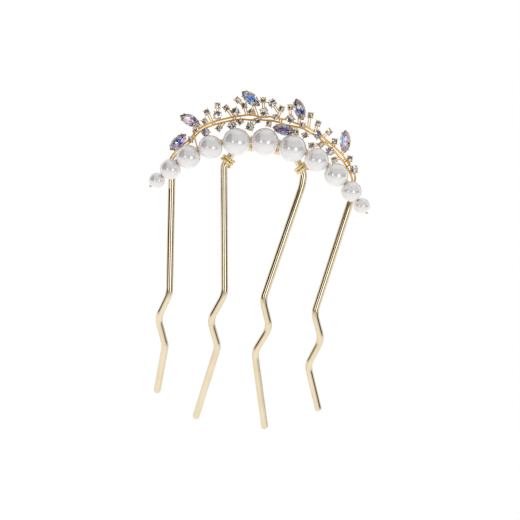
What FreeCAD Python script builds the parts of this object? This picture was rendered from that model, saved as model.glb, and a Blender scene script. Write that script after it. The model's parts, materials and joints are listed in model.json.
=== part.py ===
import FreeCAD, Part
import math
import os
import Sketcher
from FreeCAD import Placement, Rotation, Vector

# A wire hair comb: two bent-wire forks carry a string of pearls and, above it, a spray of
# claw-set rhinestones and pointed oval crystals. Millimetres. X runs along the comb, -Y faces
# the viewer, +Z is up. The origin is on the centre line at the hair line, level with the
# undersides of the end pearls; the tines go down from there into the hair.

DIMENSIONS = {
    # crest: the arched top of the outer fork
    "wire_diameter": 2.0,
    "crest_top": 17.5,
    "crest_radius": 37.0,
    "plan_radius": 75.0,
    "shoulder_radius": 5.0,
    "knee_radius": 5.5,
    "tip_round": 0.85,
    "tine_tilt": 18.0,
    "fork_spacing": 2.05,
    "inner_bend": 2.4,
    # binding coils on the inner fork
    "coil_wire": 0.9,
    "coil_pitch": 0.96,
    "coil_turns": 2.0,
    "coil_slack": 0.1,
    "coil_height": 1.7,
    # pearls and their string
    "pearl_drop": 0.5,
    "pearl_gap": 0.28,
    "pearl_clearance": 0.15,
    "string_wire": 0.5,
    "string_bend": 1.0,
    "bore_clearance": 0.05,
    "end_bead": 0.8,
    "lashing_wire": 0.18,
    "lashing_slack": 0.1,
    # spray
    "stem_wire": 0.55,
    "stem_bend": 6.0,
    "stem_gap": 0.08,
    "stem_spacing": 0.85,
    "stem_bar": 0.44,
    "stem_bar_inset": 0.3,
    "twig_wire": 0.32,
    "twig_spacing": 0.6,
    "twig_lift": 0.1,
    "tie_wire": 0.4,
    "small_stone": 1.7,
    "large_stone": 2.4,
    "cup_wall": 0.12,
    "claw_wire": 0.32,
    "claw_clearance": 0.07,
    "cup_embed": 0.12,
    "navette_length": 6.6,
    "navette_width": 3.3,
    "navette_lift": 2.1,
}

LEFT, RIGHT = -1, 1

# Pearls from the middle one outwards: diameter, how far the string has turned down where it
# runs through the pearl, and how far it has swept back there on each side, in degrees.
PEARL_STEPS = [
    (7.85, 0.0, {LEFT: 0.0, RIGHT: 0.0}),
    (7.85, 14.0, {LEFT: 4.0, RIGHT: 2.0}),
    (6.85, 23.5, {LEFT: 10.0, RIGHT: 7.0}),
    (6.85, 37.0, {LEFT: 17.0, RIGHT: 12.5}),
    (5.85, 45.0, {LEFT: 22.0, RIGHT: 19.0}),
    (4.5, 48.0, {LEFT: 27.0, RIGHT: 25.0}),
]

# Tines: each run is (degrees from straight down, positive outwards, and length). An outer tine
# starts at an angle round the crest; an inner one at a corner (x, z) under its crown's end x.
OUTER_TINES = {
    LEFT: (43.6, [(-5.7, 36.7), (19.1, 7.55), (-20.9, 8.3), (3.7, 13.9)]),
    RIGHT: (46.5, [(-11.0, 36.4), (22.0, 7.75), (-20.7, 8.35), (20.4, 13.7)]),
}
INNER_TINES = {
    LEFT: (10.8, 9.0, [(-7.2, 36.7), (22.5, 8.4), (-22.7, 7.9), (10.5, 21.9)]),
    RIGHT: (12.1, 9.3, [(-1.0, 3.2), (-12.0, 34.65), (20.8, 8.0), (-24.7, 8.2), (14.4, 22.5)]),
}
CROWN_ENDS = {LEFT: 8.3, RIGHT: 9.5}
COIL_SLANT = 7

# The spray lies on the crest surface. A place on it is (degrees round the crest from the
# middle, height above the pearl string). Each sprig has its twin-wire stem as knots of
# (degrees, height of the upper wire, height of the lower wire), and its round stones as
# (place, size, place where the twig leaves the stem or the next cup).
SPRIGS = [
    {
        "stem": [(-43.2, 2.1, 1.3), (-41.0, 2.8, 2.0), (-38.0, 3.4, 2.6), (-34.8, 3.8, 3.0),
                 (-31.6, 4.3, 3.5)],
        "stones": [],
        "navettes": [((-36.2, 5.1), 50, (-34.6, 3.8))],
    },
    {
        "stem": [(-31.6, 4.3, 3.5), (-27.4, 5.9, 5.1), (-24.0, 6.5, 5.7), (-20.6, 6.8, 5.9)],
        "stones": [
            ((-31.2, 4.1), "small", (-31.25, 4.05)),
            ((-27.9, 6.4), "small", (-26.6, 6.0)),
            ((-24.6, 4.5), "large", (-25.2, 5.5)),
            ((-23.7, 7.6), "small", (-23.2, 6.6)),
            ((-22.1, 9.9), "small", (-21.0, 6.8)),
        ],
        "navettes": [((-28.6, 9.2), -18, (-25.4, 6.3))],
    },
    {
        "stem": [(-20.6, 6.8, 5.9), (-17.0, 6.9, 6.0), (-12.6, 7.2, 6.3)],
        "stones": [
            ((-18.6, 8.3), "large", (-19.2, 6.9)),
            ((-17.9, 11.0), "small", (-18.4, 8.8)),
            ((-19.1, 4.6), "small", (-16.6, 6.0)),
            ((-15.1, 9.9), "small", (-13.1, 7.2)),
        ],
        "navettes": [],
    },
    {
        "stem": [(-12.6, 7.2, 6.3), (-9.4, 7.3, 6.3), (-6.6, 7.5, 6.0), (-4.2, 7.2, 6.1),
                 (-3.0, 7.0, 6.2)],
        "stones": [
            ((-12.0, 8.5), "large", (-11.2, 7.2)),
            ((-13.8, 4.7), "large", (-12.0, 6.2)),
            ((-10.5, 5.6), "small", (-9.4, 6.2)),
            ((-10.9, 11.8), "small", (-8.75, 9.95)),
            ((-8.7, 10.1), "small", (-7.9, 7.5)),
            ((-6.3, 8.3), "small", (-5.2, 7.35)),
            ((-6.6, 4.1), "large", (-5.8, 5.9)),
            ((-3.9, 5.9), "small", (-4.1, 6.4)),
        ],
        "navettes": [((-6.4, 12.0), -32, (-3.9, 7.2))],
    },
    {
        "stem": [(-3.0, 7.0, 6.2), (-1.2, 6.9, 6.1), (0.8, 7.5, 6.3), (2.4, 7.1, 6.3),
                 (5.0, 7.3, 6.1)],
        "stones": [
            ((-1.6, 8.5), "large", (-0.8, 6.9)),
            ((-2.2, 11.8), "small", (-1.75, 8.9)),
            ((0.9, 11.2), "large", (3.6, 9.0)),
            ((4.4, 10.1), "small", (3.7, 7.2)),
            ((3.0, 7.5), "small", (2.0, 7.2)),
            ((0.7, 5.2), "small", (0.8, 6.3)),
        ],
        "navettes": [],
    },
    {
        "stem": [(5.0, 7.3, 6.1), (7.4, 7.4, 5.9), (11.0, 7.1, 6.2), (14.0, 7.3, 6.4)],
        "stones": [
            ((8.3, 7.9), "large", (9.4, 7.25)),
            ((7.3, 11.1), "small", (8.15, 8.4)),
            ((11.9, 4.6), "small", (11.2, 6.2)),
            ((13.3, 7.2), "small", (12.2, 7.1)),
        ],
        "navettes": [((6.9, 4.4), -5, (8.2, 5.9)), ((10.5, 11.1), -65, (12.0, 7.1))],
    },
    {
        "stem": [(14.0, 7.3, 6.4), (17.0, 7.0, 6.1), (20.6, 6.8, 5.9), (24.5, 6.3, 5.4)],
        "stones": [
            ((14.7, 10.7), "small", (15.8, 7.1)),
            ((18.3, 9.4), "small", (18.6, 6.9)),
            ((15.5, 4.8), "small", (17.0, 6.0)),
            ((19.9, 6.5), "large", (21.4, 5.9)),
            ((23.2, 8.8), "small", (22.2, 6.6)),
            ((19.6, 2.9), "small", (22.4, 4.2)),
            ((22.9, 4.4), "small", (23.4, 5.5)),
        ],
        "navettes": [],
    },
    {
        "stem": [(24.5, 6.3, 5.4), (28.0, 6.0, 5.1), (31.5, 5.6, 4.6), (34.4, 5.2, 4.2)],
        "stones": [
            ((26.7, 7.3), "small", (27.6, 6.1)),
            ((27.4, 4.2), "large", (28.4, 5.0)),
            ((30.8, 2.9), "small", (32.4, 4.5)),
        ],
        "navettes": [((29.9, 9.0), -84, (32.2, 5.5))],
    },
    {
        "stem": [(34.4, 5.2, 4.2), (37.2, 4.8, 3.7), (40.0, 4.3, 3.1), (42.2, 3.5, 2.4),
                 (43.6, 2.4, 1.4)],
        "stones": [
            ((35.3, 6.1), "small", (36.4, 4.9)),
            ((39.4, 4.7), "large", (40.6, 4.1)),
        ],
        "navettes": [],
    },
]

# Where the spray is tied down: (degrees, height) on the stem, and degrees round the crest wire.
SPRAY_TIES = {
    "spray_tie_left": ((-29.3, 4.76), -30.3),
    "spray_tie_right": ((36.7, 4.0), 36.7),
}

# Cut of the round stones and their cups, as fractions of the stone's radius.
TABLE_RADIUS = 0.6
TABLE_HEIGHT = 0.32
CULET_RADIUS = 0.06
CULET_DEPTH = 0.72
CUP_TOP_RADIUS = 0.98
CUP_FOOT_RADIUS = 0.55
CUP_TOP = -0.12
CUP_FOOT = -0.95
CLAW_FOOT_REACH = 0.88
CLAW_FOOT_HEIGHT = -0.7
CLAW_KNEE_HEIGHT = 0.1
CLAW_TIP_REACH = 0.82
TWIG_FOOT_HEIGHT = -0.86
# Height of a claw's tip above the crown it leans on, in radii of the claw's wire.
CLAW_TIP_RISE = 1.5

# Cut of the pointed oval stones and their trays: (fraction of the outline, height in mm).
NAVETTE_CUT = [(0.52, 0.85), (1.0, 0.12), (1.0, -0.12), (0.10, -1.2)]
TRAY_OUTSIDE = [(0.86, -0.5), (0.42, -1.55)]
TRAY_INSIDE = [(0.72, -0.5), (0.28, -1.55)]

# Claws of a tray: where each crosses the stone's edge, as fractions of its half length and half
# width, and how much each of those two counts in the direction that the claw leans away.
TRAY_CLAW_PLACES = [(0.70, 0.50), (0.70, -0.50), (-0.70, 0.50), (-0.70, -0.50)]
TRAY_CLAW_LEAN = (0.35, 2.0)
# Their foot's reach as a fraction of the edge's, then heights, gap and overlap in mm.
TRAY_CLAW_FOOT_REACH = 0.78
TRAY_CLAW_FOOT_HEIGHT = -0.8
TRAY_CLAW_KNEE_HEIGHT = 0.15
TRAY_CLAW_TIP_HEIGHT = 0.52
TRAY_CLAW_GAP = 0.14
TRAY_CLAW_OVERLAP = 0.05

# Corners of the crest wire: degrees from the middle to the last one, and between two of them.
CREST_SPAN = 36
CREST_STEP = 12

# The largest share of a straight run that the bend at one of its ends may take.
BEND_SHARE = 0.45

LASHINGS = 8
CROSSING_STEPS = 20

TOLERANCE = 1e-4

doc = FreeCAD.newDocument("hair_comb")
sheet = doc.addObject("Spreadsheet::Sheet", "dims")
parts = []


# ---- driving dimensions ----------------------------------------------------------------

def fill_sheet(values):
    """Write each dimension in a cell of its own and give the cell its alias."""
    for row, (alias, value) in enumerate(values.items(), start=1):
        sheet.set(f"A{row}", alias)
        sheet.set(f"B{row}", str(value))
        sheet.setAlias(f"B{row}", alias)
    doc.recompute()


def size(alias):
    """The value of a dimension."""
    return float(sheet.get(alias))


# ---- places on the comb ----------------------------------------------------------------

def crest_point(angle, height=0.0, lift=0.0):
    """A point at an angle round the crest, a height above its wire, lifted to the viewer."""
    turn = math.radians(angle)
    radius = size("crest_radius") + height
    x = radius * math.sin(turn)
    z = size("crest_top") - size("crest_radius") + radius * math.cos(turn)
    y = x * x / (2 * size("plan_radius"))
    return Vector(x, y - lift, z)


def spray_point(place, lift=0.0):
    """A point of the spray from its (angle, height above the pearl string)."""
    angle, height = place
    stem_lift = (size("wire_diameter") + size("stem_wire")) / 2 + size("lashing_slack")
    return crest_point(angle, height - size("pearl_drop"), stem_lift + lift)


def facing(point):
    """The outward normal of the crest surface at a point, towards the viewer."""
    return Vector(point.x / size("plan_radius"), -1, 0).normalize()


def facing_frame(point, turn_degrees):
    """A placement whose Z faces the viewer and whose X is turned in the crest surface."""
    out = facing(point)
    along = Vector(-out.y, out.x, 0)
    spin = Rotation(out, turn_degrees)
    axis_x = spin.multVec(along)
    axis_y = out.cross(axis_x)
    return Placement(point, Rotation(axis_x, axis_y, out, "ZXY"))


# ---- wires -----------------------------------------------------------------------------

def rounded_path(points, radii):
    """Straight runs through the points, joined by tangent arcs of at most the given radii."""
    edges = []
    start = points[0]
    for before, corner, after, radius in zip(points, points[1:], points[2:], radii):
        back = before - corner
        ahead = after - corner
        half_turn = (math.pi - back.getAngle(ahead)) / 2
        room = BEND_SHARE * min(back.Length, ahead.Length)
        reach = min(radius * math.tan(half_turn), room)
        back.normalize()
        ahead.normalize()
        bulge = reach / math.tan(half_turn) * (1 / math.cos(half_turn) - 1)
        inward = (back + ahead).normalize()
        enter = corner + back * reach
        leave = corner + ahead * reach
        edges.append(Part.LineSegment(start, enter).toShape())
        edges.append(Part.Arc(enter, corner + inward * bulge, leave).toShape())
        start = leave
    edges.append(Part.LineSegment(start, points[-1]).toShape())
    return Part.Wire(edges)


def loop_round(circles, across):
    """A closed loop pulled tight round circles (centre, radius) that all lie in one plane."""
    along = (circles[1][0] - circles[0][0]).normalize()
    side = (across - along * across.dot(along)).normalize()

    def spot(circle, angle):
        centre, radius = circle
        return centre + along * (radius * math.cos(angle)) + side * (radius * math.sin(angle))

    neighbours = list(zip(circles, circles[1:] + circles[:1]))
    leaving = []
    for here, there in neighbours:
        way = there[0] - here[0]
        lean = math.asin((here[1] - there[1]) / way.Length)
        leaving.append(math.atan2(way.dot(side), way.dot(along)) - math.pi / 2 + lean)
    edges = []
    for (here, there), angle, next_angle in zip(neighbours, leaving, leaving[1:] + leaving[:1]):
        turn = (next_angle - angle) % (2 * math.pi)
        landing = spot(there, angle)
        edges.append(Part.LineSegment(spot(here, angle), landing).toShape())
        arc = Part.Arc(landing, spot(there, angle + turn / 2), spot(there, angle + turn))
        edges.append(arc.toShape())
    return Part.Wire(edges)


def swept_wire(name, path, diameter_alias):
    """A Part::Sweep of a round section, bound to the sheet, along a path."""
    route = doc.addObject("Part::Feature", f"{name}_route")
    route.Shape = path
    section = doc.addObject("Part::Circle", f"{name}_section")
    section.setExpression("Radius", f"dims.{diameter_alias} / 2")
    start = path.OrderedEdges[0]
    direction = start.tangentAt(start.FirstParameter)
    section.Placement = Placement(path.OrderedVertexes[0].Point, Rotation(Vector(0, 0, 1), direction))
    sweep = doc.addObject("Part::Sweep", f"{name}_sweep")
    sweep.Sections = [section]
    sweep.Spine = (route, [f"Edge{i + 1}" for i in range(len(path.Edges))])
    sweep.Solid = True
    return sweep


def add_part(obj, name):
    """Register a finished sub-part under the name of its file."""
    obj.Label = name
    parts.append(obj)
    return obj


def add_shape(name, shape):
    """A sub-part whose shape comes from Part's own functions."""
    feature = doc.addObject("Part::Feature", f"{name}_shape")
    feature.Shape = shape
    return add_part(feature, name)


# ---- forks -----------------------------------------------------------------------------

def tine_points(top, side, runs, level_runs):
    """Corner points of one tine from its top; after the level runs it tilts back."""
    points = [top]
    for number, (angle, length) in enumerate(runs):
        tilt = 0.0 if number < level_runs else math.radians(size("tine_tilt"))
        lean = math.radians(angle)
        drop = length * math.cos(lean)
        step = Vector(side * length * math.sin(lean), drop * math.tan(tilt), -drop)
        points.append(points[-1] + step)
    return points


def rounded_tips(name, sweep):
    """Round off the cut ends of a fork's two tines."""
    doc.recompute()
    lowest_edges = []
    for face in sweep.Shape.Faces:
        if isinstance(face.Surface, Part.Plane):
            lowest_edges.append(face.Edges[0])
    fillet = doc.addObject("Part::Fillet", f"{name}_tips")
    fillet.Base = sweep
    radius = size("tip_round")
    fillet.Edges = [
        (number + 1, radius, radius)
        for number, edge in enumerate(sweep.Shape.Edges)
        if any(edge.isSame(tip) for tip in lowest_edges)
    ]
    return fillet


def fork(name, left, crest, right, corner_radii):
    """One fork: up the left tine, over the crest and down the right tine."""
    points = left[::-1] + crest + right
    path = rounded_path(points, corner_radii)
    return add_part(rounded_tips(name, swept_wire(name, path, "wire_diameter")), name)


def outer_fork():
    """The fork whose arched top carries the pearls: tines 1 and 4."""
    left_angle, left_runs = OUTER_TINES[LEFT]
    right_angle, right_runs = OUTER_TINES[RIGHT]
    left = tine_points(crest_point(-left_angle), LEFT, left_runs, 1)
    right = tine_points(crest_point(right_angle), RIGHT, right_runs, 1)
    bulge = size("crest_radius") * (1 / math.cos(math.radians(CREST_STEP / 2)) - 1)
    angles = range(-CREST_SPAN, CREST_SPAN + 1, CREST_STEP)
    crest = [crest_point(angle, bulge) for angle in angles]
    knees = [size("knee_radius")] * 3
    shoulder = [size("shoulder_radius")]
    radii = knees + shoulder + [size("crest_radius")] * len(crest) + shoulder + knees
    return fork("outer_fork", left, crest, right, radii)


def crown_point(x):
    """A point of the inner fork's top, which runs just under the crest wire."""
    angle = math.degrees(math.asin(x / size("crest_radius")))
    return crest_point(angle, -size("fork_spacing"))


def inner_corner(side):
    """Where the inner fork's tine turns inwards to the crown."""
    x, z, _ = INNER_TINES[side]
    return Vector(side * x, x * x / (2 * size("plan_radius")), z)


def inner_fork():
    """The narrower fork between the outer tines: tines 2 and 3."""
    left = tine_points(inner_corner(LEFT), LEFT, INNER_TINES[LEFT][-1], 1)
    right = tine_points(inner_corner(RIGHT), RIGHT, INNER_TINES[RIGHT][-1], 2)
    crest = [crown_point(x) for x in (-CROWN_ENDS[LEFT], 0.0, CROWN_ENDS[RIGHT])]
    knees = [size("knee_radius")] * 3
    bend = [size("inner_bend")]
    crown = bend + [size("crest_radius")] + bend
    radii = knees + bend + crown + bend + [size("crest_radius")] + knees
    return fork("inner_fork", left, crest, right, radii)


def binding_coil(name, side, slant):
    """Turns of thick wire wound round the inner fork, just above the corner of one tine."""
    corner = inner_corner(side)
    upward = (crown_point(side * CROWN_ENDS[side]) - corner).normalize()
    lay = Rotation(Vector(0, 1, 0), slant).multiply(Rotation(Vector(0, 0, 1), upward))
    height = size("coil_turns") * size("coil_pitch")
    foot = corner + upward * size("coil_height") - lay.multVec(Vector(0, 0, height / 2))
    helix = doc.addObject("Part::Helix", f"{name}_centreline")
    helix.setExpression("Pitch", "dims.coil_pitch")
    helix.setExpression("Height", "dims.coil_pitch * dims.coil_turns")
    helix.setExpression("Radius", "(dims.wire_diameter + dims.coil_wire) / 2 + dims.coil_slack")
    helix.Placement = Placement(foot, lay)
    doc.recompute()
    first = helix.Shape.Edges[0]
    start = first.valueAt(first.FirstParameter)
    heading_out = first.tangentAt(first.FirstParameter)
    section = doc.addObject("Part::Circle", f"{name}_section")
    section.setExpression("Radius", "dims.coil_wire / 2")
    section.Placement = Placement(start, Rotation(Vector(0, 0, 1), heading_out))
    coil = doc.addObject("Part::Sweep", f"{name}_winding")
    coil.Sections = [section]
    coil.Spine = (helix, [f"Edge{number + 1}" for number in range(len(helix.Shape.Edges))])
    coil.Solid = True
    coil.Frenet = True
    return add_part(coil, name)


# ---- pearls ----------------------------------------------------------------------------

def string_run():
    """Vertices of the pearl string from left to right, and the pearls between them."""
    forward = (size("wire_diameter") + PEARL_STEPS[0][0]) / 2 + size("pearl_clearance")
    middle = Vector(0, -forward, size("crest_top") - size("pearl_drop"))
    halves = {}
    for side in (LEFT, RIGHT):
        vertex = Vector(middle)
        vertices = []
        pearls = []
        for number, (diameter, drop, sweep) in enumerate(PEARL_STEPS):
            down = math.radians(drop)
            back = math.radians(sweep[side])
            across = math.cos(back)
            step = Vector(side * math.cos(down) * across, math.sin(back), -math.sin(down) * across)
            pitch = diameter + size("pearl_gap")
            centre = vertex + step * (0.0 if number == 0 else pitch / 2)
            vertex = centre + step * (pitch / 2)
            pearls.append((centre, step, number))
            vertices.append(vertex)
        halves[side] = (vertices, pearls)
    left_vertices, left_pearls = halves[LEFT]
    right_vertices, right_pearls = halves[RIGHT]
    vertices = left_vertices[::-1] + right_vertices
    pearls = left_pearls[:0:-1] + right_pearls
    return vertices, pearls


def pearl(name, centre, direction, step_number):
    """A drilled round pearl: half a disc, short of the bore, turned round the bore's axis."""
    body = doc.addObject("PartDesign::Body", f"{name}_body")
    planes = {plane.Role: plane for plane in body.Origin.OriginFeatures}
    sketch = body.newObject("Sketcher::SketchObject", f"{name}_profile")
    sketch.AttachmentSupport = [(planes["XZ_Plane"], "")]
    sketch.MapMode = "FlatFace"
    radius = PEARL_STEPS[step_number][0] / 2
    bore = size("string_wire") / 2 + size("bore_clearance")
    rim = math.acos(bore / radius)
    circle = Part.Circle(Vector(0, 0, 0), Vector(0, 0, 1), radius)
    lower = Vector(bore, -radius * math.sin(rim), 0)
    upper = Vector(bore, radius * math.sin(rim), 0)
    sketch.addGeometry(Part.ArcOfCircle(circle, -rim, rim), False)
    sketch.addGeometry(Part.LineSegment(upper, lower), False)
    sketch.addConstraint([
        Sketcher.Constraint("Coincident", 0, 3, -1, 1),
        Sketcher.Constraint("Coincident", 0, 2, 1, 1),
        Sketcher.Constraint("Coincident", 0, 1, 1, 2),
        Sketcher.Constraint("Vertical", 1),
    ])
    round_size = sketch.addConstraint(Sketcher.Constraint("Radius", 0, radius))
    bore_size = sketch.addConstraint(Sketcher.Constraint("DistanceX", -1, 1, 1, 1, bore))
    sketch.setExpression(f"Constraints[{round_size}]", f"dims.pearl_{step_number} / 2")
    sketch.setExpression(f"Constraints[{bore_size}]", "dims.string_wire / 2 + dims.bore_clearance")
    turned = body.newObject("PartDesign::Revolution", f"{name}_turned")
    turned.Profile = sketch
    turned.ReferenceAxis = (sketch, ["V_Axis"])
    turned.Angle = 360
    body.Tip = turned
    body.Placement = Placement(centre, Rotation(Vector(0, 0, 1), direction))
    return add_part(body, name)


def pearl_string(vertices):
    """The wire that all the pearls turn on, with a small bead closing each end."""
    bead_radius = size("end_bead") / 2
    bore_radius = size("string_wire") / 2 + size("bore_clearance")
    reach = math.sqrt(bead_radius ** 2 - bore_radius ** 2) + size("bore_clearance")
    left_end = vertices[0] + (vertices[0] - vertices[1]).normalize() * reach
    right_end = vertices[-1] + (vertices[-1] - vertices[-2]).normalize() * reach
    points = [left_end] + vertices[1:-1] + [right_end]
    radii = [size("string_bend")] * (len(points) - 2)
    pieces = [swept_wire("pearl_wire", rounded_path(points, radii), "string_wire")]
    for end in (left_end, right_end):
        bead = doc.addObject("Part::Sphere", "end_bead")
        bead.setExpression("Radius", "dims.end_bead / 2")
        bead.Placement = Placement(end, Rotation())
        pieces.append(bead)
    joined = doc.addObject("Part::MultiFuse", "pearl_wire_with_ends")
    joined.Shapes = pieces
    return add_part(joined, "pearl_wire")


def crest_angle(point):
    """How far round the crest a point lies."""
    centre_z = size("crest_top") - size("crest_radius")
    return math.degrees(math.atan2(point.x, point.z - centre_z))


def crest_crossing(point, direction):
    """Angle at which the crest wire crosses the plane through a point, square to a direction."""
    angle = crest_angle(point)
    for _ in range(CROSSING_STEPS):
        miss = (crest_point(angle) - point).dot(direction)
        angle -= math.degrees(miss / size("crest_radius"))
    return angle


def lashing(name, vertex, along_string):
    """A loop that ties the string to the crest, and to the inner fork's crown where it can."""
    stand_off = size("lashing_wire") / 2 + size("lashing_slack")
    fork_radius = size("wire_diameter") / 2 + stand_off
    crest = crest_point(crest_crossing(vertex, along_string))
    circles = [(vertex, size("string_wire") / 2 + stand_off / 2), (crest, fork_radius)]
    side = RIGHT if vertex.x > 0 else LEFT
    if abs(vertex.x) < CROWN_ENDS[side]:
        middle = crown_point(0.0)
        end = crown_point(side * CROWN_ENDS[side])
        crown = middle + (end - middle) * (crest.x / end.x)
        crown -= along_string * (crown - vertex).dot(along_string)
        circles.append((crown, fork_radius))
    across = Vector(-vertex.x, 0, -size("crest_radius"))
    loop = loop_round(circles, across - along_string * across.dot(along_string))
    return add_part(swept_wire(name, loop, "lashing_wire"), name)


# ---- stones and their settings ---------------------------------------------------------

def polygon(radius, height, sides=8):
    """A level regular polygon with a flat towards each diagonal."""
    corners = []
    for number in range(sides + 1):
        turn = 2 * math.pi * (number + 0.5) / sides
        corners.append(Vector(radius * math.cos(turn), radius * math.sin(turn), height))
    return Part.makePolygon(corners)


def round_stone(radius):
    """An eight-sided brilliant: flat table, sloping crown, deep point. Its girdle is at 0."""
    rings = [
        polygon(radius * TABLE_RADIUS, radius * TABLE_HEIGHT),
        polygon(radius, 0.0),
        polygon(radius * CULET_RADIUS, -radius * CULET_DEPTH),
    ]
    return Part.makeLoft(rings, True, True)


def rod(start, end, radius):
    """A straight round bar."""
    return Part.makeCylinder(radius, (end - start).Length, start, end - start)


def claw(foot, knee, tip):
    """A bent claw that rises beside the stone and leans over its crown."""
    radius = size("claw_wire") / 2
    joint = Part.makeSphere(radius, knee)
    nose = Part.makeSphere(radius, tip)
    return rod(foot, knee, radius).multiFuse([rod(knee, tip, radius), joint, nose])


def claw_cup(radius):
    """An open conical cup with four claws, for a round stone of this radius."""
    wall = size("cup_wall")
    depth = radius * (CUP_TOP - CUP_FOOT)
    base = Vector(0, 0, radius * CUP_FOOT)
    outside = Part.makeCone(radius * CUP_FOOT_RADIUS, radius * CUP_TOP_RADIUS, depth, base)
    inner_foot = radius * CUP_FOOT_RADIUS - wall
    inner_top = radius * CUP_TOP_RADIUS - wall
    inside = Part.makeCone(inner_foot, inner_top, depth, base)
    shell = outside.cut(inside)
    claw_radius = size("claw_wire") / 2
    foot = Vector(radius * CLAW_FOOT_REACH, 0, radius * CLAW_FOOT_HEIGHT)
    knee_reach = radius + claw_radius + size("claw_clearance")
    knee = Vector(knee_reach, 0, radius * CLAW_KNEE_HEIGHT)
    crown_rise = radius * TABLE_HEIGHT * (1 - CLAW_TIP_REACH) / (1 - TABLE_RADIUS)
    tip = Vector(radius * CLAW_TIP_REACH, 0, crown_rise + CLAW_TIP_RISE * claw_radius)
    claws = []
    for number in range(4):
        spin = Rotation(Vector(0, 0, 1), 45 + 90 * number)
        claws.append(claw(spin.multVec(foot), spin.multVec(knee), spin.multVec(tip)))
    return shell.multiFuse(claws)


def pointed_oval(scale, height):
    """The outline of a pointed oval stone: two arcs that meet at its ends."""
    half_length = size("navette_length") / 2 * scale
    half_width = size("navette_width") / 2 * scale
    left = Vector(-half_length, 0, height)
    right = Vector(half_length, 0, height)
    return Part.Wire([
        Part.Arc(left, Vector(0, half_width, height), right).toShape(),
        Part.Arc(right, Vector(0, -half_width, height), left).toShape(),
    ])


def pointed_loft(levels):
    """A closed solid through pointed ovals, from (scale, height) pairs."""
    return Part.makeLoft([pointed_oval(scale, height) for scale, height in levels], True, True)


def navette_tray():
    """The open tray behind a pointed oval stone, with four claws over its shoulders."""
    wall = pointed_loft(TRAY_OUTSIDE).cut(pointed_loft(TRAY_INSIDE))
    claw_radius = size("claw_wire") / 2
    half_length = size("navette_length") / 2
    half_width = size("navette_width") / 2
    claws = []
    lean_along, lean_across = TRAY_CLAW_LEAN
    up = Vector(0, 0, 1)
    for along, across in TRAY_CLAW_PLACES:
        edge = Vector(along * half_length, across * half_width, 0)
        outward = Vector(edge.x * lean_along, edge.y * lean_across, 0).normalize()
        foot = edge * TRAY_CLAW_FOOT_REACH + up * TRAY_CLAW_FOOT_HEIGHT
        knee = edge + outward * (claw_radius + TRAY_CLAW_GAP) + up * TRAY_CLAW_KNEE_HEIGHT
        tip = edge - outward * TRAY_CLAW_OVERLAP + up * TRAY_CLAW_TIP_HEIGHT
        claws.append(claw(foot, knee, tip))
    return wall.multiFuse(claws)


def stone_radius(kind):
    """Radius of a small or large round stone."""
    return size(f"{kind}_stone") / 2


def heading(place, root):
    """Direction of a twig in the crest surface, in degrees from level."""
    start = spray_point(root)
    end = spray_point(place)
    return math.degrees(math.atan2(end.z - start.z, end.x - start.x))


def round_frame(place, kind, root):
    """Where a round stone sits, turned to its twig, with its girdle plane at the origin."""
    cup_depth = -stone_radius(kind) * CUP_FOOT
    lift = size("stem_wire") / 2 + cup_depth - size("cup_embed")
    return facing_frame(spray_point(place, lift), heading(place, root))


def navette_frame(place, turn):
    """Where a pointed oval stone sits."""
    return facing_frame(spray_point(place, size("navette_lift")), turn)


def cup_foot(frame, radius):
    """The point at the back of a round stone's cup where its twig ends."""
    return frame.multVec(Vector(-radius * CUP_FOOT_RADIUS, 0, radius * TWIG_FOOT_HEIGHT))


def tray_foot(place):
    """The point at the back of a pointed oval's tray where its twig ends."""
    tray_back = size("navette_lift") + TRAY_OUTSIDE[-1][1]
    return spray_point(place, tray_back + size("twig_wire") / 2)


def twig(root, foot):
    """Twin thin wires from a place on the stem to the foot of a setting."""
    start = spray_point(root, size("twig_lift"))
    run = foot - start
    side = run.cross(facing(start)).normalize() * (size("twig_spacing") / 2)
    radius = size("twig_wire") / 2
    return [rod(start + side, foot + side, radius), rod(start - side, foot - side, radius)]


def stem_wires(knots):
    """The twin wires of one sprig's stem, joined by a short bar at each end."""
    upper = [spray_point((angle, height)) for angle, height, _ in knots]
    lower = [spray_point((angle, height)) for angle, _, height in knots]
    for points in (upper, lower):
        points[-1] += (points[-2] - points[-1]).normalize() * size("stem_gap")
    radius = size("stem_wire") / 2
    pieces = []
    for points in (upper, lower):
        path = rounded_path(points, [size("stem_bend")] * (len(points) - 2))
        first = path.OrderedEdges[0]
        heading_out = first.tangentAt(first.FirstParameter)
        section = Part.Wire(Part.makeCircle(radius, points[0], heading_out))
        pieces.append(path.makePipeShell([section], True, False))
    for end, inner in ((0, 1), (-1, -2)):
        inset = size("stem_bar_inset") / (upper[end] - upper[inner]).Length
        top = upper[end] + (upper[inner] - upper[end]) * inset
        bottom = lower[end] + (lower[inner] - lower[end]) * inset
        pieces.append(rod(bottom, top, size("stem_bar") / 2))
    return pieces


def sprig(number, layout):
    """One sprig of the spray: its casting, its round stones and its pointed ovals."""
    metal = stem_wires(layout["stem"])
    stones = []
    ovals = []
    for place, kind, root in layout["stones"]:
        radius = stone_radius(kind)
        frame = round_frame(place, kind, root)
        metal.append(CUPS[kind].transformed(frame.toMatrix(), True))
        metal += twig(root, cup_foot(frame, radius))
        stones.append(STONES[kind].transformed(frame.toMatrix(), True))
    for place, turn, root in layout["navettes"]:
        frame = navette_frame(place, turn)
        metal.append(TRAY.transformed(frame.toMatrix(), True))
        metal += twig(root, tray_foot(place))
        ovals.append(NAVETTE.transformed(frame.toMatrix(), True))
    add_shape(f"sprig_{number}_setting", metal[0].multiFuse(metal[1:]))
    if stones:
        add_shape(f"sprig_{number}_rhinestones", Part.makeCompound(stones))
    return ovals


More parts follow.
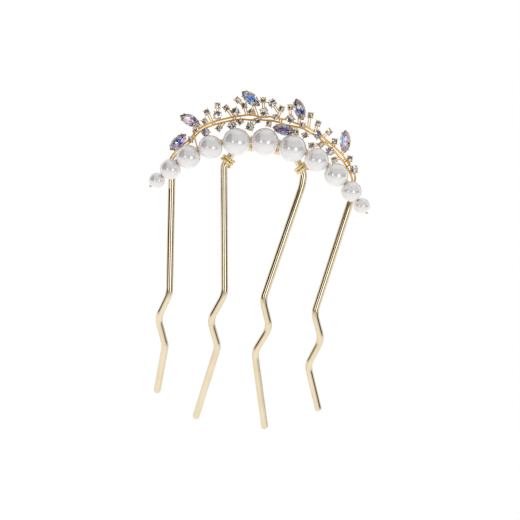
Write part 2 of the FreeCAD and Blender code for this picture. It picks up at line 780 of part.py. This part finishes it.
def spray_tie(name, stem_place, crest_turn):
    """A loop that ties the spray's stem down to the crest wire."""
    stand_off = size("tie_wire") / 2 + size("lashing_slack")
    stem_half = size("stem_spacing") / 2 + size("stem_wire") / 2
    circles = [
        (spray_point(stem_place), stem_half + stand_off),
        (crest_point(crest_turn), size("wire_diameter") / 2 + stand_off),
    ]
    return add_part(swept_wire(name, loop_round(circles, Vector(0, 1, 0)), "tie_wire"), name)


# ---- build -----------------------------------------------------------------------------

def check_parts():
    """Stop if any object failed or any sub-part is empty or invalid."""
    doc.recompute()
    for obj in doc.Objects:
        if "Invalid" in obj.State or "Error" in obj.State:
            raise RuntimeError(f"{obj.Name} failed: {obj.State}")
    labels = [part.Label for part in parts]
    if len(set(labels)) != len(labels):
        raise RuntimeError("two sub-parts share a name")
    for part in parts:
        if part.Shape.isNull() or not part.Shape.isValid() or part.Shape.Volume < TOLERANCE:
            raise RuntimeError(f"{part.Label} has no valid solid")


def export_parts():
    """Write each sub-part to its own file and print its size."""
    os.makedirs("parts", exist_ok=True)
    for part in parts:
        part.Shape.exportStep(f"parts/{part.Label}.step")
        solids = len(part.Shape.Solids)
        print(f"{part.Label}: {solids} solid(s), {part.Shape.Volume:.2f} mm3")


fill_sheet(DIMENSIONS | {f"pearl_{n}": step[0] for n, step in enumerate(PEARL_STEPS)})
outer_fork()
inner_fork()
binding_coil("binding_coil_left", LEFT, COIL_SLANT)
binding_coil("binding_coil_right", RIGHT, -COIL_SLANT)

string_vertices, string_pearls = string_run()
for index, (position, axis, step_index) in enumerate(string_pearls, start=1):
    pearl(f"pearl_{index:02d}", position, axis, step_index)
pearl_string(string_vertices)
for index in range(1, LASHINGS + 1):
    between = string_pearls[index + 1][0] - string_pearls[index][0]
    lashing(f"lashing_{index}", string_vertices[index + 1], between.normalize())

CUPS = {kind: claw_cup(stone_radius(kind)) for kind in ("small", "large")}
STONES = {kind: round_stone(stone_radius(kind)) for kind in ("small", "large")}
NAVETTE = pointed_loft(NAVETTE_CUT)
TRAY = navette_tray().cut(NAVETTE)
navettes = []
for index, sprig_layout in enumerate(SPRIGS, start=1):
    navettes += sprig(index, sprig_layout)
for index, navette in enumerate(navettes, start=1):
    add_shape(f"navette_{index}", navette)
for tie_name, (stem_hold, crest_hold) in SPRAY_TIES.items():
    spray_tie(tie_name, stem_hold, crest_hold)

check_parts()
export_parts()
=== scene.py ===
import json
import math

import bmesh
import bpy
from mathutils import Matrix, Vector


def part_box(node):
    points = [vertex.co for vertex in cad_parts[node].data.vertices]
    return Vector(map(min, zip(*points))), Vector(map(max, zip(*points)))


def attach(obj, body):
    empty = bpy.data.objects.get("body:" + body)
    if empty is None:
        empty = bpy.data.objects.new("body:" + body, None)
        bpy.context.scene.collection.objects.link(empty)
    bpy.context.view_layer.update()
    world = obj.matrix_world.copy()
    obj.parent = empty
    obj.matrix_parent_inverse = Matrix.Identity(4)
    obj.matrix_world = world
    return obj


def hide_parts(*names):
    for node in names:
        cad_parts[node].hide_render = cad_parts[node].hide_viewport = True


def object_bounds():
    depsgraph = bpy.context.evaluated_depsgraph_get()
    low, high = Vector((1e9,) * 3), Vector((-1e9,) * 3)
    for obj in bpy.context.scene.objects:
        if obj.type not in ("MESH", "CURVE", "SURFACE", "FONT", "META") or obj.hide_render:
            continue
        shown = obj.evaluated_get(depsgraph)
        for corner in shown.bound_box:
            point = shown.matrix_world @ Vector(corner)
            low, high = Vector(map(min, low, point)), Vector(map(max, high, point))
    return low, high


# A wire hair comb with pearls, claw-set rhinestones and pointed oval crystals. The CAD wires,
# cups and claws are kept and get metal finishes. Pearls and stones are rebuilt with fine
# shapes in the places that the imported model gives. Lengths are metres.

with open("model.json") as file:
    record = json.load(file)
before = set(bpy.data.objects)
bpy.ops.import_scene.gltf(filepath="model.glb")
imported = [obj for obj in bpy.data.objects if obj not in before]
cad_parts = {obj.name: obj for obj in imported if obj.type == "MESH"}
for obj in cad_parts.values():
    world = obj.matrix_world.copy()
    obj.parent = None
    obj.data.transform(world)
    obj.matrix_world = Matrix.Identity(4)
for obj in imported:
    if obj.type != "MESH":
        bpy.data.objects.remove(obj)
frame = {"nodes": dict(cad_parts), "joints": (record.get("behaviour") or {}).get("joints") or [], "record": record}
CAD_BOX = [list(corner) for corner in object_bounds()]
NODES = frame["nodes"]
SLOT_OF = {entry["node"]: entry["material_slot"] for entry in frame["record"]["subparts"]}
MAIN_BODY = "comb"
MM = 0.001

# ---- camera ----------------------------------------------------------------------------

# Where the camera aims, its roll, its lens and sensor in millimetres as Blender takes them, and
# the width that it takes in at the comb.
CAMERA_AIM = Vector((2.65 * MM, 0.0, -16.46 * MM))
CAMERA_ROLL = math.radians(6.87)
CAMERA_LENS = 300.0
SENSOR_WIDTH = 36.0
VIEW_WIDTH = 148.0 * MM


def make_camera():
    """A long lens square on to the comb's face, rolled so that the comb leans to the right."""
    data = bpy.data.cameras.new("camera")
    data.lens = CAMERA_LENS
    data.sensor_width = SENSOR_WIDTH
    camera = bpy.data.objects.new("camera", data)
    bpy.context.scene.collection.objects.link(camera)
    distance = VIEW_WIDTH * CAMERA_LENS / SENSOR_WIDTH
    camera.location = CAMERA_AIM - Vector((0, distance, 0))
    level = Matrix.Rotation(math.radians(90), 4, "X")
    roll = Matrix.Rotation(-CAMERA_ROLL, 4, "Y")
    camera.rotation_euler = (roll @ level).to_euler()
    bpy.context.scene.camera = camera


# ---- shader helpers --------------------------------------------------------------------

class Nodes:
    """A small wrapper that makes and links shader nodes."""

    def __init__(self, tree):
        self.tree = tree
        self.tree.nodes.clear()

    def add(self, kind, inputs=(), **settings):
        node = self.tree.nodes.new(kind)
        for name, value in settings.items():
            setattr(node, name, value)
        for key, value in dict(inputs).items():
            self.feed(node.inputs[key], value)
        return node

    def feed(self, socket, value):
        if isinstance(value, bpy.types.NodeSocket):
            self.tree.links.new(value, socket)
        else:
            socket.default_value = value

    def math(self, operation, *values):
        node = self.add("ShaderNodeMath", operation=operation)
        for socket, value in zip(node.inputs, values):
            self.feed(socket, value)
        return node.outputs[0]

    def ramp(self, value, low, high):
        """0 below low, 1 above high, smooth between. Low may be above high."""
        inputs = {"Value": value, "From Min": low, "From Max": high}
        node = self.add("ShaderNodeMapRange", inputs, interpolation_type="SMOOTHSTEP")
        return node.outputs["Result"]

    def noise(self, scale, detail=3.0, roughness=0.5):
        where = self.add("ShaderNodeTexCoord").outputs["Object"]
        inputs = {"Vector": where, "Scale": scale, "Detail": detail, "Roughness": roughness}
        return self.add("ShaderNodeTexNoise", inputs).outputs["Fac"]

    def blend(self, amount, low, high):
        """A colour between two others."""
        inputs = {0: amount, 6: low, 7: high}
        return self.add("ShaderNodeMix", inputs, data_type="RGBA").outputs[2]

    def mix(self, amount, low, high):
        """A number between two others."""
        return self.add("ShaderNodeMix", {0: amount, 2: low, 3: high}).outputs[0]

    def bump(self, height, strength, distance):
        inputs = {"Height": height, "Strength": strength, "Distance": distance}
        return self.add("ShaderNodeBump", inputs).outputs["Normal"]


def rgb(red, green, blue):
    """A colour as shader sockets take it."""
    return (red, green, blue, 1.0)


def new_material(name):
    """An empty node material, and the wrapper for its tree."""
    material = bpy.data.materials.new(name)
    material.use_nodes = True
    return material, Nodes(material.node_tree)


def surface(nodes, inputs):
    """A Principled shader on the material's output."""
    shader = nodes.add("ShaderNodeBsdfPrincipled", inputs)
    nodes.add("ShaderNodeOutputMaterial", {"Surface": shader.outputs[0]})


# ---- studio ----------------------------------------------------------------------------

# How bright the room is: plain where no zone lies, then the zone in front of the comb at the
# camera's height and off it, the flags at its sides, the zone straight behind, and its flag.
ROOM_BRIGHT = 1.0
ROOM_AT_EYE_LEVEL = 0.17
ROOM_FRONT = 0.62
ROOM_FLAG = 0.015
ROOM_BEHIND = 0.72
ROOM_BACK_FLAG = 0.06

# Where the zones lie. Each pair is where a zone begins and where it is fully there, along one
# axis of the direction looked in, which is a unit vector.
OFF_EYE_LEVEL_EDGE = (0.08, 0.30)
LEFT_FLAG_EDGE = (-0.60, -0.70)
RIGHT_FLAG_EDGE = (0.93, 0.98)
FLAG_FOOT_EDGE = (-0.15, -0.03)
FLOOR_EDGE = (-0.55, -0.15)
CEILING_EDGE = (0.97, 0.80)
FRONT_EDGE = (0.32, 0.18)
BEHIND_EDGE = (0.70, 0.80)
BACK_FLAG_NEAR_EDGE = (0.12, 0.24)
BACK_FLAG_FAR_EDGE = (0.60, 0.50)

# Softboxes: degrees round from the camera, distance, diameter and power before scaling. They
# stand a little below level, by a share of their distance, round a point above the origin.
SOFTBOX_TURN = 30.0
SOFTBOX_DISTANCE = 0.6
SOFTBOX_SIZE = 0.30
SOFTBOX_POWER = 0.46
SOFTBOX_DROP = 0.05
SOFTBOX_CENTRE_HEIGHT = 0.01
# Each one's name, side and scale.
SOFTBOXES = (("softbox_left", -1, 0.62), ("softbox_right", 1, 0.90))

# How far the floor lies below the comb, where its edges are, and its finish.
FLOOR_DROP = 0.22
FLOOR_FRONT = -0.34
FLOOR_BACK = 3.0
FLOOR_SIDE = 2.5
FLOOR_GREY = 0.5
FLOOR_GLOW = 0.65
FLOOR_ROUGHNESS = 0.9


def front_of_room(nodes, axes):
    """Brightness in front: grey, darkest at the camera's height, with a dark flag at each side."""
    height = nodes.math("ABSOLUTE", axes["Z"])
    off_eye_level = nodes.ramp(height, *OFF_EYE_LEVEL_EDGE)
    grey = nodes.mix(off_eye_level, ROOM_AT_EYE_LEVEL, ROOM_FRONT)
    left_flag = nodes.ramp(axes["X"], *LEFT_FLAG_EDGE)
    right_flag = nodes.ramp(axes["X"], *RIGHT_FLAG_EDGE)
    above_foot = nodes.ramp(axes["Z"], *FLAG_FOOT_EDGE)
    flag = nodes.math("MULTIPLY", nodes.math("MAXIMUM", left_flag, right_flag), above_foot)
    return nodes.mix(flag, grey, ROOM_FLAG)


def back_of_room(nodes, axes):
    """Brightness straight behind: pale grey with one dark flag."""
    near = nodes.ramp(axes["X"], *BACK_FLAG_NEAR_EDGE)
    far = nodes.ramp(axes["X"], *BACK_FLAG_FAR_EDGE)
    return nodes.mix(nodes.math("MULTIPLY", near, far), ROOM_BEHIND, ROOM_BACK_FLAG)


def make_world():
    """A pale room with a grey front and back, which only reflections and light show.

    The camera sees plain white wherever it looks past the comb.
    """
    world = bpy.data.worlds.new("studio")
    bpy.context.scene.world = world
    world.use_nodes = True
    nodes = Nodes(world.node_tree)
    way = nodes.add("ShaderNodeTexCoord").outputs["Generated"]
    axes = nodes.add("ShaderNodeSeparateXYZ", {0: way}).outputs
    above_floor = nodes.ramp(axes["Z"], *FLOOR_EDGE)
    below_ceiling = nodes.ramp(axes["Z"], *CEILING_EDGE)
    in_front = nodes.ramp(axes["Y"], *FRONT_EDGE)
    zone = nodes.math("MULTIPLY", nodes.math("MULTIPLY", above_floor, below_ceiling), in_front)
    around = nodes.mix(zone, ROOM_BRIGHT, front_of_room(nodes, axes))
    behind = nodes.ramp(axes["Y"], *BEHIND_EDGE)
    level = nodes.mix(behind, around, back_of_room(nodes, axes))
    seen = nodes.add("ShaderNodeLightPath").outputs["Is Camera Ray"]
    inputs = {"Color": rgb(1, 1, 1), "Strength": nodes.mix(seen, level, 1.0)}
    light = nodes.add("ShaderNodeBackground", inputs)
    nodes.add("ShaderNodeOutputWorld", {"Surface": light.outputs[0]})


def make_softboxes():
    """Two round softboxes either side of the camera; the right one is a little larger."""
    for name, side, scale in SOFTBOXES:
        data = bpy.data.lights.new(name, "AREA")
        data.shape = "DISK"
        data.size = SOFTBOX_SIZE * scale
        data.energy = SOFTBOX_POWER * scale * scale
        light = bpy.data.objects.new(name, data)
        bpy.context.scene.collection.objects.link(light)
        turn = math.radians(SOFTBOX_TURN) * side
        way = Vector((math.sin(turn), -math.cos(turn), -SOFTBOX_DROP))
        light.location = way * SOFTBOX_DISTANCE + Vector((0, 0, SOFTBOX_CENTRE_HEIGHT))
        light.rotation_euler = way.to_track_quat("Z", "Y").to_euler()
        light.visible_camera = False


def make_floor():
    """A plain pale floor, well below the comb because a wearer's hair would hold it up."""
    low = CAD_BOX[0][2] - FLOOR_DROP
    corners = [
        (-FLOOR_SIDE, FLOOR_FRONT, low),
        (FLOOR_SIDE, FLOOR_FRONT, low),
        (FLOOR_SIDE, FLOOR_BACK, low),
        (-FLOOR_SIDE, FLOOR_BACK, low),
    ]
    mesh = bpy.data.meshes.new("floor")
    mesh.from_pydata(corners, [], [(0, 1, 2, 3)])
    floor = bpy.data.objects.new("floor", mesh)
    bpy.context.scene.collection.objects.link(floor)
    material, nodes = new_material("floor_white")
    inputs = {
        "Base Color": rgb(FLOOR_GREY, FLOOR_GREY, FLOOR_GREY),
        "Roughness": FLOOR_ROUGHNESS,
        "Emission Color": rgb(1, 1, 1),
        "Emission Strength": FLOOR_GLOW,
    }
    surface(nodes, inputs)
    mesh.materials.append(material)


# ---- finishes --------------------------------------------------------------------------

# Noise scales, in cycles per metre, and the depth of the finest marks.
METAL_DRIFT_SCALE = 140.0
METAL_POLISH_SCALE = 900.0
METAL_MARK_SCALE = 6000.0
PEARL_CLOUD_SCALE = 420.0
GLASS_HAZE_SCALE = 3000.0
FOIL_PATCH_SCALE = 2500.0
METAL_MARK_DEPTH = 0.02 * MM

# How far the polish of a metal varies: the least roughness and the spread, as shares of the mean.
POLISH_LEAST = 0.6
POLISH_SPREAD = 0.8

GLASS_HAZE = 0.03
FOIL_PATCH_STRENGTH = 0.08
FOIL_PATCH_GREY = rgb(0.3, 0.3, 0.32)
COATING_NANOMETRES = 400.0
# The round stones' foil glows by this much: painted light, as the foil is no lamp.
ROUND_STONE_PAINTED_GLOW = 0.20


def metal(name, pale, deep, roughness, mark_strength):
    """Polished plating: a faint drift of colour, uneven polish and fine handling marks."""
    material, nodes = new_material(name)
    drift = nodes.ramp(nodes.noise(METAL_DRIFT_SCALE, 2.0), 0.3, 0.7)
    polish = nodes.noise(METAL_POLISH_SCALE, 4.0, 0.6)
    marks = nodes.noise(METAL_MARK_SCALE, 2.0)
    least = roughness * POLISH_LEAST
    spread = roughness * POLISH_SPREAD
    inputs = {
        "Base Color": nodes.blend(drift, pale, deep),
        "Metallic": 1.0,
        "Roughness": nodes.math("MULTIPLY_ADD", polish, spread, least),
        "Normal": nodes.bump(marks, mark_strength, METAL_MARK_DEPTH),
    }
    surface(nodes, inputs)
    return material


def pearl_lacquer():
    """Imitation pearl: a bright base under layers of mica lacquer with a soft mirror sheen."""
    material, nodes = new_material("pearl_lacquer")
    cloud = nodes.ramp(nodes.noise(PEARL_CLOUD_SCALE, 3.0), 0.35, 0.65)
    inputs = {
        "Base Color": nodes.blend(cloud, rgb(0.92, 0.895, 0.885), rgb(0.89, 0.86, 0.85)),
        "Metallic": 0.20,
        "Roughness": 0.22,
        "Coat Weight": 1.0,
        "Coat Roughness": 0.12,
        "Coat IOR": 2.0,
    }
    surface(nodes, inputs)
    return material


def cut_glass(name, film):
    """Clear cut glass; film is the thickness of an iridescent coating in nanometres, or 0."""
    material, nodes = new_material(name)
    haze = nodes.math("MULTIPLY", nodes.noise(GLASS_HAZE_SCALE, 2.0), GLASS_HAZE)
    inputs = {
        "Base Color": rgb(0.97, 0.97, 0.98),
        "Roughness": haze,
        "IOR": 1.56,
        "Transmission Weight": 1.0,
        "Thin Film Thickness": film,
        "Thin Film IOR": 1.9,
    }
    surface(nodes, inputs)
    return material


def foil(name, painted_glow):
    """Mirror foil behind a stone, tinted facet by facet, the tints holding painted light and shade as well as the
    foil's own colours.

    The second argument is a slight glow in the facet's own tint, painted light from a foil that is no lamp. It
    stands in for light that a finer cut would send back to the viewer.
    """
    material, nodes = new_material(name)
    tint_and_painted_light = nodes.add("ShaderNodeAttribute", attribute_name="tint_and_painted_light").outputs["Color"]
    patch = nodes.ramp(nodes.noise(FOIL_PATCH_SCALE, 2.0), 0.3, 0.7)
    dulled = nodes.math("MULTIPLY", patch, FOIL_PATCH_STRENGTH)
    inputs = {
        "Base Color": nodes.blend(dulled, tint_and_painted_light, FOIL_PATCH_GREY),
        "Metallic": 1.0,
        "Roughness": 0.03,
        "Emission Color": tint_and_painted_light,
        "Emission Strength": painted_glow,
    }
    surface(nodes, inputs)
    return material


# Each material slot's plating: paler and deeper colour, mean roughness, strength of the marks.
METALS = {
    "fork_metal": metal("champagne_gold", rgb(0.83, 0.72, 0.53), rgb(0.78, 0.66, 0.46), 0.06, 0.03),
    "spray_metal": metal("warm_gold", rgb(0.93, 0.66, 0.26), rgb(0.74, 0.46, 0.11), 0.10, 0.05),
    "fine_wire": metal("wire_gold", rgb(0.88, 0.66, 0.32), rgb(0.76, 0.52, 0.20), 0.14, 0.05),
}
BINDING_METAL = metal("binding_gold", rgb(0.88, 0.71, 0.41), rgb(0.70, 0.51, 0.23), 0.10, 0.05)
PEARL = pearl_lacquer()
CLEAR_GLASS = cut_glass("clear_crystal", 0.0)
COATED_GLASS = cut_glass("coated_crystal", COATING_NANOMETRES)
CLEAR_FOIL = foil("silver_foil_painted_glow_and_shade", ROUND_STONE_PAINTED_GLOW)
COATED_FOIL = foil("coated_foil_painted_light", 0.0)


def plating_of(name):
    """The metal of a kept CAD node, or None for a pearl or a stone."""
    if name.startswith("binding"):
        return BINDING_METAL
    return METALS.get(SLOT_OF[name])


def finish_metal_nodes():
    """Give every kept CAD node its plating."""
    for name, node in NODES.items():
        plating = plating_of(name)
        if plating:
            node.data.materials.clear()
            node.data.materials.append(plating)


# ---- meshes ----------------------------------------------------------------------------

def finish_mesh(name, form, materials, smooth):
    """Turn a bmesh into an object in the scene."""
    bmesh.ops.recalc_face_normals(form, faces=form.faces)
    mesh = bpy.data.meshes.new(name)
    form.to_mesh(mesh)
    form.free()
    for material in materials:
        mesh.materials.append(material)
    for polygon in mesh.polygons:
        polygon.use_smooth = smooth
    made = bpy.data.objects.new(name, mesh)
    bpy.context.scene.collection.objects.link(made)
    return made


def put_in_place(piece, node, body):
    """Show a piece instead of a CAD node, on a body."""
    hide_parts(node)
    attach(piece, body)


# ---- pearls ----------------------------------------------------------------------------

# A pearl's mesh, then its bore and the rounding of the bore's mouths.
PEARL_RINGS = 48
PEARL_SEGMENTS = 72
MOUTH_STEPS = 4
BORE_RADIUS = 0.3 * MM
BORE_ROUNDING = 0.12 * MM


def pearl_profile(radius):
    """(distance from the bore's axis, place along it) from one mouth of the bore round to it."""
    mouth_radius = BORE_RADIUS + BORE_ROUNDING
    first = math.asin(mouth_radius / radius)
    mouth = []
    for step in range(MOUTH_STEPS, -1, -1):
        turn = math.pi / 2 * step / MOUTH_STEPS
        away = mouth_radius - BORE_ROUNDING * math.sin(turn)
        depth = BORE_ROUNDING * (1 - math.cos(turn))
        mouth.append((away, radius * math.cos(first) - depth))
    outside = []
    for ring in range(1, PEARL_RINGS):
        angle = first + (math.pi - 2 * first) * ring / PEARL_RINGS
        outside.append((radius * math.sin(angle), radius * math.cos(angle)))
    far_mouth = [(away, -along) for away, along in reversed(mouth)]
    return mouth + outside + far_mouth


def turned(name, profile, material):
    """A closed surface turned from a ring of (radius, height) points round Z."""
    form = bmesh.new()
    rings = []
    for away, along in profile:
        ring = []
        for step in range(PEARL_SEGMENTS):
            angle = 2 * math.pi * step / PEARL_SEGMENTS
            ring.append(form.verts.new((away * math.cos(angle), away * math.sin(angle), along)))
        rings.append(ring)
    for ring, following in zip(rings, rings[1:] + rings[:1]):
        for step in range(PEARL_SEGMENTS):
            after = (step + 1) % PEARL_SEGMENTS
            form.faces.new((ring[step], following[step], following[after], ring[after]))
    return finish_mesh(name, form, [material], smooth=True)


def make_pearls():
    """A finely turned pearl on each spinning body, in place of its CAD solid."""
    for joint in frame["joints"]:
        node = joint["name"].removesuffix("_spin")
        low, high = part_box(node)
        radius = max(high - low) / 2
        pearl = turned(f"{node}_nacre", pearl_profile(radius), PEARL)
        spin = Vector(joint["axis"]).to_track_quat("Z", "Y").to_matrix().to_4x4()
        pearl.data.transform(Matrix.Translation(Vector(joint["pos_m"])) @ spin)
        put_in_place(pearl, node, joint["child"])


# ---- stones ----------------------------------------------------------------------------

FACETS = 8
GLASS, FOIL = 0, 1

# The tables of the plain CAD stones, from which the place and size of each stone are read:
# share of the outline, and height above the girdle. Round heights are shares of the radius.
ROUND_TABLE_SHARE, ROUND_TABLE_HEIGHT = 0.6, 0.32
OVAL_TABLE_SHARE, OVAL_TABLE_HEIGHT = 0.52, 0.85 * MM

# The rings of each cut, from table to culet: share of the outline and height. The girdle's
# entry is half its thickness, and the culet's is its height.
ROUND_CUT = {
    "table": (0.6, 0.32),
    "star": (0.78, 0.235),
    "girdle": 0.035,
    "keel": (0.55, -0.372),
    "culet": -0.72,
}
OVAL_CUT = {
    "table": (0.50, 0.85 * MM),
    "star": (0.76, 0.50 * MM),
    "girdle": 0.10 * MM,
    "keel": (0.46, -0.72 * MM),
    "culet": -1.18 * MM,
}

# Tolerances for reading the CAD stones.
WELD_DISTANCE = 0.002 * MM
SAME_POINT = 0.001 * MM
SAME_DIRECTION = 0.9999
CLEARLY_LARGER = 1.001


def linked_faces(start, left):
    """Every face joined to the first one, each taken out of the set of faces left."""
    left.remove(start)
    group = []
    queue = [start]
    while queue:
        face = queue.pop()
        group.append(face)
        for edge in face.edges:
            for other in edge.link_faces:
                if other in left:
                    left.remove(other)
                    queue.append(other)
    return group


def islands(node):
    """The separate solids of a CAD node, each as a list of (triangle corners, normal, area)."""
    form = bmesh.new()
    form.from_mesh(NODES[node].data)
    bmesh.ops.remove_doubles(form, verts=form.verts, dist=WELD_DISTANCE)
    left = set(form.faces)
    found = []
    for start in form.faces:
        if start in left:
            triangles = []
            for face in linked_faces(start, left):
                corners = [vertex.co.copy() for vertex in face.verts]
                triangles.append((corners, face.normal.copy(), face.calc_area()))
            found.append(triangles)
    form.free()
    return found


def table_of(triangles):
    """A stone's table, which is its largest flat: its corners and its outward direction."""
    largest = 0.0
    for _, normal, _ in triangles:
        alike = [entry for entry in triangles if entry[1].dot(normal) > SAME_DIRECTION]
        area = sum(entry[2] for entry in alike)
        if area > largest * CLEARLY_LARGER:
            largest = area
            direction = normal
            table = alike
    corners = []
    for points, _, _ in table:
        for point in points:
            if all((point - known).length > SAME_POINT for known in corners):
                corners.append(point)
    return corners, direction


def pose_of(centre, along, normal):
    """A matrix that puts X along, Z along the normal and the origin at the centre."""
    across = normal.cross(along).normalized()
    along = across.cross(normal).normalized()
    turn = Matrix((along, across, normal)).transposed().to_4x4()
    return Matrix.Translation(centre) @ turn


def circle_outline(radius):
    """Outline of a round stone: a point for each angle."""
    return lambda angle: Vector((radius * math.cos(angle), radius * math.sin(angle), 0))


def oval_outline(half_length, half_width):
    """Outline of a pointed oval: two arcs that meet at its ends."""
    arc = (half_length ** 2 + half_width ** 2) / (2 * half_width)

    def point(angle):
        x = half_length * math.cos(angle)
        y = math.sqrt(max(arc * arc - x * x, 0.0)) - (arc - half_width)
        return Vector((x, math.copysign(y, math.sin(angle)), 0))

    return point


def stone_points(form, outline, cut, height_scale, place):
    """The rings of corners of one stone, and its culet, added to a bmesh."""
    up = Vector((0, 0, height_scale))

    def ring(count, offset, share, height):
        corners = []
        for step in range(count):
            angle = 2 * math.pi * (step + offset) / count
            corners.append(form.verts.new(place @ (outline(angle) * share + up * height)))
        return corners

    table = ring(FACETS, 0, *cut["table"])
    star = ring(FACETS, 0.5, *cut["star"])
    upper = ring(2 * FACETS, 0, 1.0, cut["girdle"])
    lower = ring(2 * FACETS, 0, 1.0, -cut["girdle"])
    keel = ring(FACETS, 0.5, *cut["keel"])
    culet = form.verts.new(place @ (up * cut["culet"]))
    return table, star, upper, lower, keel, culet


def stone_facets(table, star, upper, lower, keel, culet):
    """The corners and the material of every facet of one stone."""
    facets = [(table, GLASS)]
    for step in range(FACETS):
        after = (step + 1) % FACETS
        even = 2 * step
        odd = even + 1
        next_even = (even + 2) % (2 * FACETS)
        facets += [
            ((table[step], star[step], table[after]), GLASS),
            ((table[step], upper[even], star[step]), GLASS),
            ((table[after], star[step], upper[next_even]), GLASS),
            ((star[step], upper[even], upper[odd]), GLASS),
            ((star[step], upper[odd], upper[next_even]), GLASS),
            ((upper[even], lower[even], lower[odd], upper[odd]), GLASS),
            ((upper[odd], lower[odd], lower[next_even], upper[next_even]), GLASS),
            ((lower[even], keel[step], lower[odd]), FOIL),
            ((lower[odd], keel[step], lower[next_even]), FOIL),
            ((lower[next_even], keel[step], keel[after]), FOIL),
            ((keel[step], culet, keel[after]), FOIL),
        ]
    return facets


def cut_stone(form, outline, cut, height_scale, place, tint_and_painted_light_of):
    """Add one faceted stone to a bmesh: crown and girdle of glass, pavilion of foil."""
    layers = form.loops.layers.float_color
    # Each facet's colour, which carries painted light and shade besides the foil's own colour.
    tint_and_painted_light = layers.get("tint_and_painted_light") or layers.new("tint_and_painted_light")
    to_stone = place.inverted()
    points = stone_points(form, outline, cut, height_scale, place)
    for corners, material_index in stone_facets(*points):
        face = form.faces.new(corners)
        face.material_index = material_index
        colour = tint_and_painted_light_of(to_stone @ face.calc_center_median())
        for loop in face.loops:
            loop[tint_and_painted_light] = colour


# The foil behind a clear stone: silver facets by turns with facets painted dark, a painted shade that stands for
# facets that don't catch the light.
BRIGHT_FOIL = rgb(1.0, 1.0, 1.0)
PAINTED_SHADE_FOIL = rgb(0.10, 0.10, 0.13)


def by_turns(turn, colours):
    """One of two colours, changing from facet to facet round a stone; the stones use it to paint lit and shaded
    facets by turns.
    """
    return colours[int((turn + math.pi) * FACETS / math.pi) % 2]


def clear_foil_and_painted_shade(point):
    """Which colour each facet of a clear stone's foil has: silver and painted shade by turns."""
    return by_turns(math.atan2(point.y, point.x), (BRIGHT_FOIL, PAINTED_SHADE_FOIL))


def make_round_stones():
    """Brilliants in place of the plain stones of each sprig."""
    nodes = [name for name, slot in SLOT_OF.items() if slot == "rhinestone"]
    for node in nodes:
        form = bmesh.new()
        for triangles in islands(node):
            corners, normal = table_of(triangles)
            middle = sum(corners, Vector()) / len(corners)
            radius = (corners[0] - middle).length / ROUND_TABLE_SHARE
            centre = middle - normal * (radius * ROUND_TABLE_HEIGHT)
            place = pose_of(centre, corners[0] - middle, normal)
            cut_stone(form, circle_outline(radius), ROUND_CUT, radius, place, clear_foil_and_painted_shade)
        stones = finish_mesh(f"{node}_cut", form, [CLEAR_GLASS, CLEAR_FOIL], smooth=False)
        put_in_place(stones, node, MAIN_BODY)


# Colours of the coated foil: partly the coating's own hues and partly painted light and shade, such as the pale
# highlights and the near-black.
BLUE = rgb(0.16, 0.36, 0.95)
SKY = rgb(0.35, 0.68, 0.98)
VIOLET = rgb(0.26, 0.20, 0.62)
LILAC = rgb(0.72, 0.62, 0.86)
SMOKE = rgb(0.48, 0.43, 0.38)
STEEL = rgb(0.62, 0.63, 0.68)
SILVER = rgb(0.93, 0.93, 0.95)
CREAM = rgb(0.93, 0.86, 0.70)
PAINTED_DARK = rgb(0.03, 0.03, 0.07)
# For each stone: the two colours of its rim by turns, a lit and a shaded one, which are painted light and shade;
# then its core from one tip to the other, the coating's hues with painted reflection and shade.
OVAL_TINTS_AND_PAINTED_LIGHT = {
    "navette_1": ((LILAC, SILVER), (BLUE, PAINTED_DARK, LILAC)),
    "navette_2": ((SILVER, STEEL), (CREAM, VIOLET, STEEL)),
    "navette_3": ((SMOKE, SILVER), (BLUE, BLUE, SKY)),
    "navette_4": ((CREAM, STEEL), (VIOLET, STEEL, VIOLET)),
    "navette_5": ((CREAM, LILAC), (CREAM, VIOLET, BLUE)),
    "navette_6": ((CREAM, LILAC), (SILVER, SKY, SKY)),
}
# How far out a core reaches, as a share of the outline.
CORE_SHARE = 0.45


def oval_tint_and_painted_light(name, half_length, half_width):
    """Which colour each facet of a coated stone has, painted light and shade among the coating's hues."""
    rim, core = OVAL_TINTS_AND_PAINTED_LIGHT[name]

    def pick(point):
        along = point.x / half_length
        across = point.y / half_width
        if math.hypot(along, across) > CORE_SHARE:
            return by_turns(math.atan2(across, along), rim)
        step = math.floor((along / CORE_SHARE + 1) / 2 * len(core))
        return core[min(max(step, 0), len(core) - 1)]

    return pick


def make_oval_stones():
    """Pointed ovals with a coated foil back, in place of the plain ones."""
    for node in OVAL_TINTS_AND_PAINTED_LIGHT:
        corners, normal = table_of(islands(node)[0])
        middle = sum(corners, Vector()) / len(corners)
        tip = max(corners, key=lambda corner: (corner - middle).length)
        half_length = (tip - middle).length / OVAL_TABLE_SHARE
        along = (tip - middle).normalized()
        across = normal.cross(along)
        reach = max(abs((corner - middle).dot(across)) for corner in corners)
        half_width = reach / OVAL_TABLE_SHARE
        centre = middle - normal * OVAL_TABLE_HEIGHT
        place = pose_of(centre, along, normal)
        form = bmesh.new()
        outline = oval_outline(half_length, half_width)
        cut_stone(form, outline, OVAL_CUT, 1.0, place, oval_tint_and_painted_light(node, half_length, half_width))
        stone = finish_mesh(f"{node}_cut", form, [COATED_GLASS, COATED_FOIL], smooth=False)
        put_in_place(stone, node, MAIN_BODY)


# ---- build -----------------------------------------------------------------------------

bpy.context.scene.view_settings.view_transform = "Standard"
make_camera()
make_world()
make_softboxes()
make_floor()
finish_metal_nodes()
make_pearls()
make_round_stones()
make_oval_stones()
